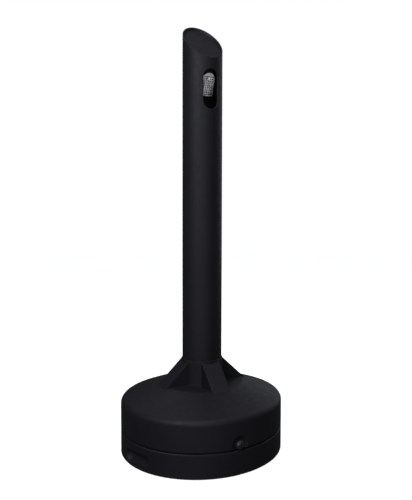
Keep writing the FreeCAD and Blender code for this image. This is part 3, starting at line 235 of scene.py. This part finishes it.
def rivet_steel():
    """A drawn rivet head, bright on the crown."""
    s = Shader("rivet_steel")
    grime = s.noise(240.0, 4.0, 0.6)
    colour = s.blend(s.ramp(grime, 0.0, 0.8, 0.5, 0.7), (0.62, 0.61, 0.59), (0.18, 0.17, 0.16))
    s.fixed(metallic=1.0)
    return s.finish(colour, s.ramp(grime, 0.28, 0.5), s.bump(0.015 * MM, s.noise(900.0)))


def knob_metal():
    """A die-cast knob under black enamel, rubbed at its rim."""
    s = Shader("knob_metal")
    grain = s.noise(500.0, 3.0, 0.6)
    rubbed = s.ramp(s.noise(130.0, 4.0, 0.6), 0.0, 0.6, 0.58, 0.74)
    colour = s.blend(rubbed, (0.018, 0.018, 0.020), (0.06, 0.06, 0.062))
    s.fixed(coat_weight=0.25, coat_roughness=0.25)
    return s.finish(colour, s.ramp(grain, 0.30, 0.42), s.bump(0.02 * MM, grain))


FINISHES = {
    "shell_plastic": moulded_plastic(
        "shell_plastic", (0.0074, 0.0075, 0.0096), (0.0108, 0.0109, 0.0137), 0.5 * MM
    ),
    "pole_plastic": moulded_plastic(
        "pole_plastic", (0.0076, 0.0077, 0.0098), (0.0104, 0.0105, 0.0133), 0.25 * MM
    ),
    "foot_rubber": foot_rubber(),
    "seal_rubber": seal_rubber(),
    "ballast_iron": ballast_iron(),
    "zinc_steel": zinc_steel(),
    "pail_steel": pail_steel(),
    "insert_brass": insert_brass(),
    "stub_steel": stub_steel(),
    "bracket_paint": bracket_paint(),
    "rivet_steel": rivet_steel(),
    "knob_metal": knob_metal(),
}

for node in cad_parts.values():
    for held in node.material_slots:
        held.material = FINISHES[held.material.name.split(".")[0]]


# Studio

def studio_floor(radius, bend, rise, rings, spokes):
    """A round pale floor that turns up into a wall all round."""
    profile = [(radius * k / rings, 0.0) for k in range(1, rings + 1)]
    for k in range(1, rings + 1):
        turn = math.pi / 2 * k / rings
        profile.append((radius + bend * math.sin(turn), bend * (1.0 - math.cos(turn))))
    profile.append((radius + bend, rise))
    points = [(0.0, 0.0, 0.0)]
    faces = []
    for ring, (out, up) in enumerate(profile):
        for k in range(spokes):
            angle = math.tau * k / spokes
            points.append((out * math.cos(angle), out * math.sin(angle), up))
            following = (k + 1) % spokes
            here = 1 + ring * spokes
            if ring == 0:
                faces.append((0, here + k, here + following))
            else:
                inside = here - spokes
                faces.append((inside + k, here + k, here + following, inside + following))
    mesh = bpy.data.meshes.new("studio_floor")
    mesh.from_pydata(points, [], faces)
    for face in mesh.polygons:
        face.use_smooth = True
    floor = bpy.data.objects.new("studio_floor", mesh)
    bpy.context.scene.collection.objects.link(floor)
    return floor


def pale_paper():
    """The studio's pale paper: faintly fibrous, and glowing so that it reads as white."""
    s = Shader("pale_paper")
    fibres = s.noise(40.0, 4.0, 0.6)
    s.fixed(emission_color=(1.0, 1.0, 1.0, 1.0), emission_strength=0.92)
    return s.finish(s.blend(fibres, (0.78, 0.78, 0.78), (0.82, 0.82, 0.82)), 0.9)


floor = studio_floor(radius=4.0, bend=1.2, rise=4.5, rings=12, spokes=96)
floor.data.materials.append(pale_paper())
floor.visible_glossy = False
floor.visible_diffuse = False


def softbox(name, azimuth, out, up, aim, width, height, watts):
    """A rectangular soft light. Azimuth 0 is in front of the object and 90 on its +X side."""
    light = bpy.data.lights.new(name, "AREA")
    light.shape = "RECTANGLE"
    light.size = width
    light.size_y = height
    light.energy = watts
    light.color = (0.90, 0.92, 1.0)
    lamp = bpy.data.objects.new(name, light)
    turn = math.radians(azimuth)
    lamp.location = (out * math.sin(turn), -out * math.cos(turn), up)
    lamp.rotation_euler = (Vector(aim) - lamp.location).to_track_quat("-Z", "Y").to_euler()
    bpy.context.scene.collection.objects.link(lamp)
    return lamp


softbox(
    "key_light", azimuth=-60.0, out=1.9, up=1.55, aim=(0.0, 0.0, 0.75),
    width=0.5, height=0.8, watts=24.0,
)
softbox(
    "top_light", azimuth=-10.0, out=0.9, up=2.6, aim=(0.0, 0.0, 0.1),
    width=1.6, height=1.2, watts=17.0,
)
softbox(
    "side_light", azimuth=100.0, out=2.0, up=0.9, aim=(0.0, 0.0, 0.5),
    width=0.5, height=1.6, watts=4.0,
)
softbox(
    "front_light", azimuth=-25.0, out=3.0, up=0.7, aim=(0.0, 0.0, 0.4),
    width=1.8, height=1.2, watts=14.0,
)
softbox(
    "back_light", azimuth=172.0, out=1.5, up=2.4, aim=(0.0, 0.0, 0.4),
    width=1.4, height=1.4, watts=6.0,
)
softbox(
    "back_side_light", azimuth=125.0, out=2.6, up=1.0, aim=(0.0, 0.0, 0.4),
    width=1.0, height=1.6, watts=5.0,
)

# a small low light that only the bright metal behind the opening takes
plate_light = softbox(
    "plate_light", azimuth=26.0, out=1.1, up=0.25, aim=(0.0, -0.03, 0.8),
    width=0.5, height=0.5, watts=1.5,
)
lit_by_it = bpy.data.collections.new("plate_light_takers")
for name in ("stub_plate", "stub_rivet"):
    lit_by_it.objects.link(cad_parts[name])
plate_light.light_linking.receiver_collection = lit_by_it

world = bpy.data.worlds.new("studio_air")
world.use_nodes = True
world.node_tree.nodes["Background"].inputs["Color"].default_value = (0.9, 0.95, 1.0, 1.0)
world.node_tree.nodes["Background"].inputs["Strength"].default_value = 0.05
bpy.context.scene.world = world
bpy.context.scene.view_settings.view_transform = "Standard"


# Camera

lens = bpy.data.cameras.new("camera")
lens.sensor_width = 36.0
lens.lens = 46.23
lens.shift_x = -0.106
lens.shift_y = -0.0532
lens.clip_start = 0.05
camera = bpy.data.objects.new("camera", lens)
camera.matrix_world = (
    Matrix.Translation((-0.6285, -1.2956, 0.5921))
    @ Matrix.Rotation(math.radians(-30.94), 4, "Z")
    @ Matrix.Rotation(math.radians(86.68), 4, "X")
    @ Matrix.Rotation(math.radians(0.41), 4, "Z")
)
bpy.context.scene.collection.objects.link(camera)
bpy.context.scene.camera = camera
